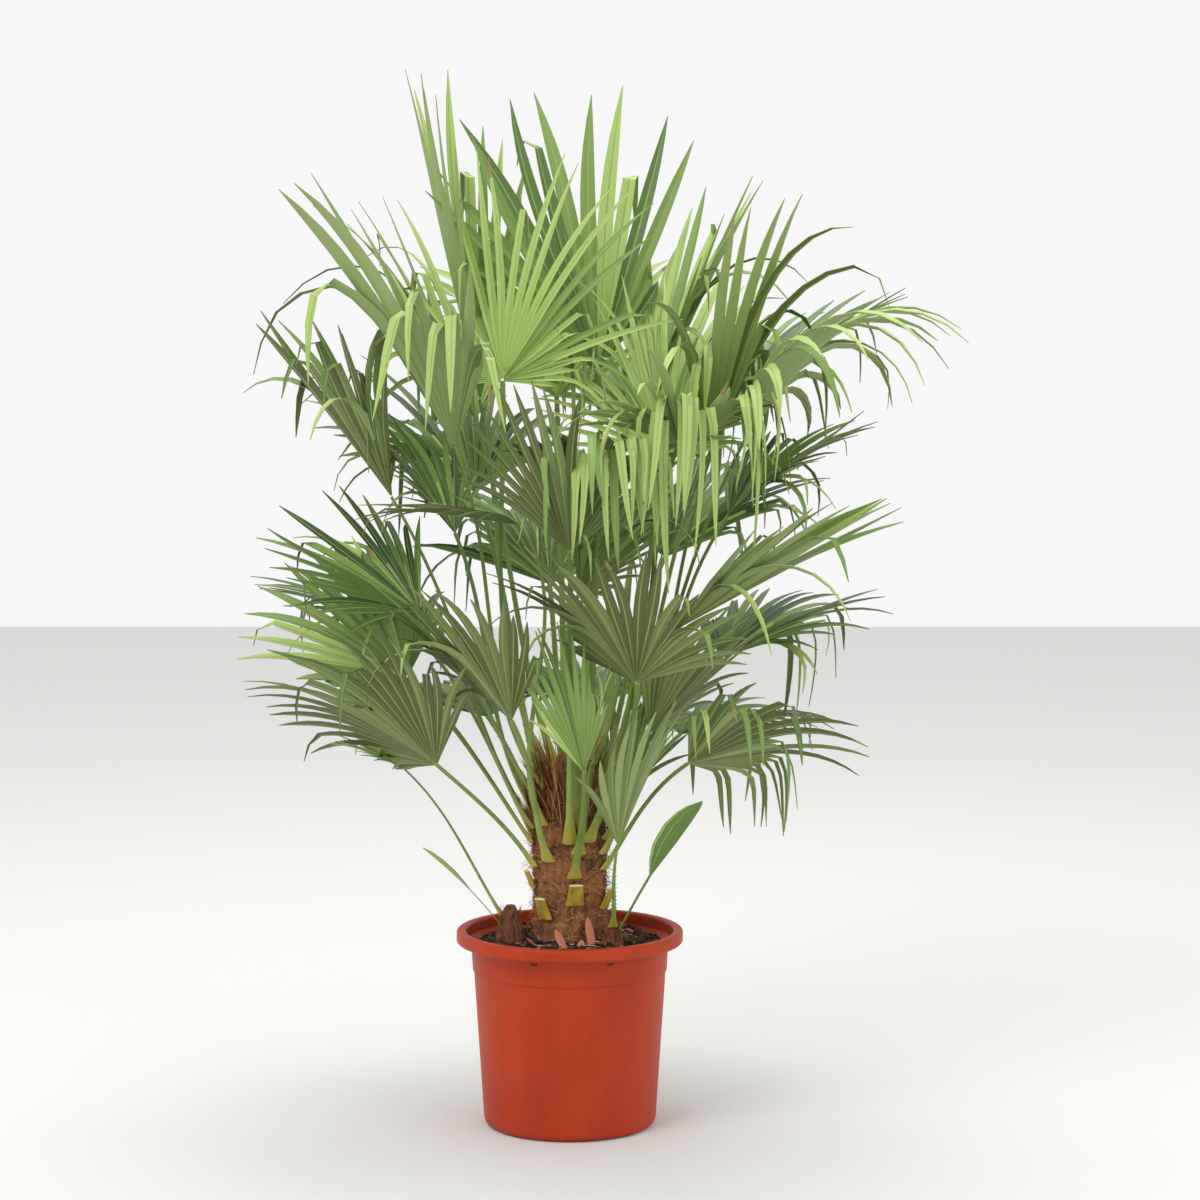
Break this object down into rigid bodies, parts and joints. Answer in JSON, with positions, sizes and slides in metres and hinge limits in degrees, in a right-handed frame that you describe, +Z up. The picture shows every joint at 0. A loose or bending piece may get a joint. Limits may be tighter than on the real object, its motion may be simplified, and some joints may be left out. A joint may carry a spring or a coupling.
{
  "type": "potted european fan palm",
  "caption": "Potted fan palm: short fibrous trunk, side shoots and pleated fan leaves on slim stalks in a tapered terracotta-coloured plastic nursery pot.",
  "frame": {"origin": "centre of the pot's flat underside", "axes": "+Z up along the pot's axis; -Y is the side that the picture shows; +X is to the right seen from there"},
  "size_m": [0.9484, 0.8513, 1.4041],
  "materials": {
    "pot": "matt moulded terracotta-coloured plastic, lightly scuffed",
    "soil": "dark crumbly potting soil with bark chips",
    "trunk": "brown woven fibre between old leaf bases",
    "shoot": "brown fibre-wrapped side shoot",
    "stub": "cut yellow-green leaf base",
    "leaf": "satin pleated green fan leaf on a slim stalk",
    "young_leaf": "satin light green leaf that has not split"
  },
  "bodies": {
    "root": {"back_low": "leaf", "back_low_left": "leaf", "back_low_right": "leaf", "back_mid": "leaf", "back_mid_right": "leaf", "back_top": "leaf", "back_upper": "leaf", "back_upper_left": "leaf", "back_upper_right": "leaf", "centre_back": "leaf", "centre_olive": "leaf", "centre_upper": "leaf", "face_right": "leaf", "face_upper": "leaf", "front_folded": "leaf", "front_middle": "leaf", "front_right": "leaf", "left_back_mid": "leaf", "left_back_top": "leaf", "left_centre": "leaf", "left_fan": "leaf", "left_flat": "leaf", "left_low": "leaf", "left_mid": "leaf", "left_top_inner": "leaf", "left_top_outer": "leaf", "left_upper": "leaf", "left_upper_back": "leaf", "low_front": "leaf", "pot": "pot", "right_back_mid": "leaf", "right_dark": "leaf", "right_far": "leaf", "right_low": "leaf", "right_mid": "leaf", "right_mid_upper": "leaf", "right_top_inner": "leaf", "right_top_outer": "leaf", "right_upper": "leaf", "shoot_back": "shoot", "shoot_back_fan": "leaf", "shoot_left": "shoot", "shoot_left_fan": "leaf", "shoot_right": "shoot", "shoot_right_fan": "leaf", "soil": "soil", "spear": "young_leaf", "stub_back": "stub", "stub_back_left": "stub", "stub_front": "stub", "stub_front_left": "stub", "stub_left": "stub", "stub_right": "stub", "trunk": "trunk", "young_blade_back": "young_leaf", "young_blade_left": "young_leaf", "young_blade_right": "young_leaf"}
  },
  "joints": []
}
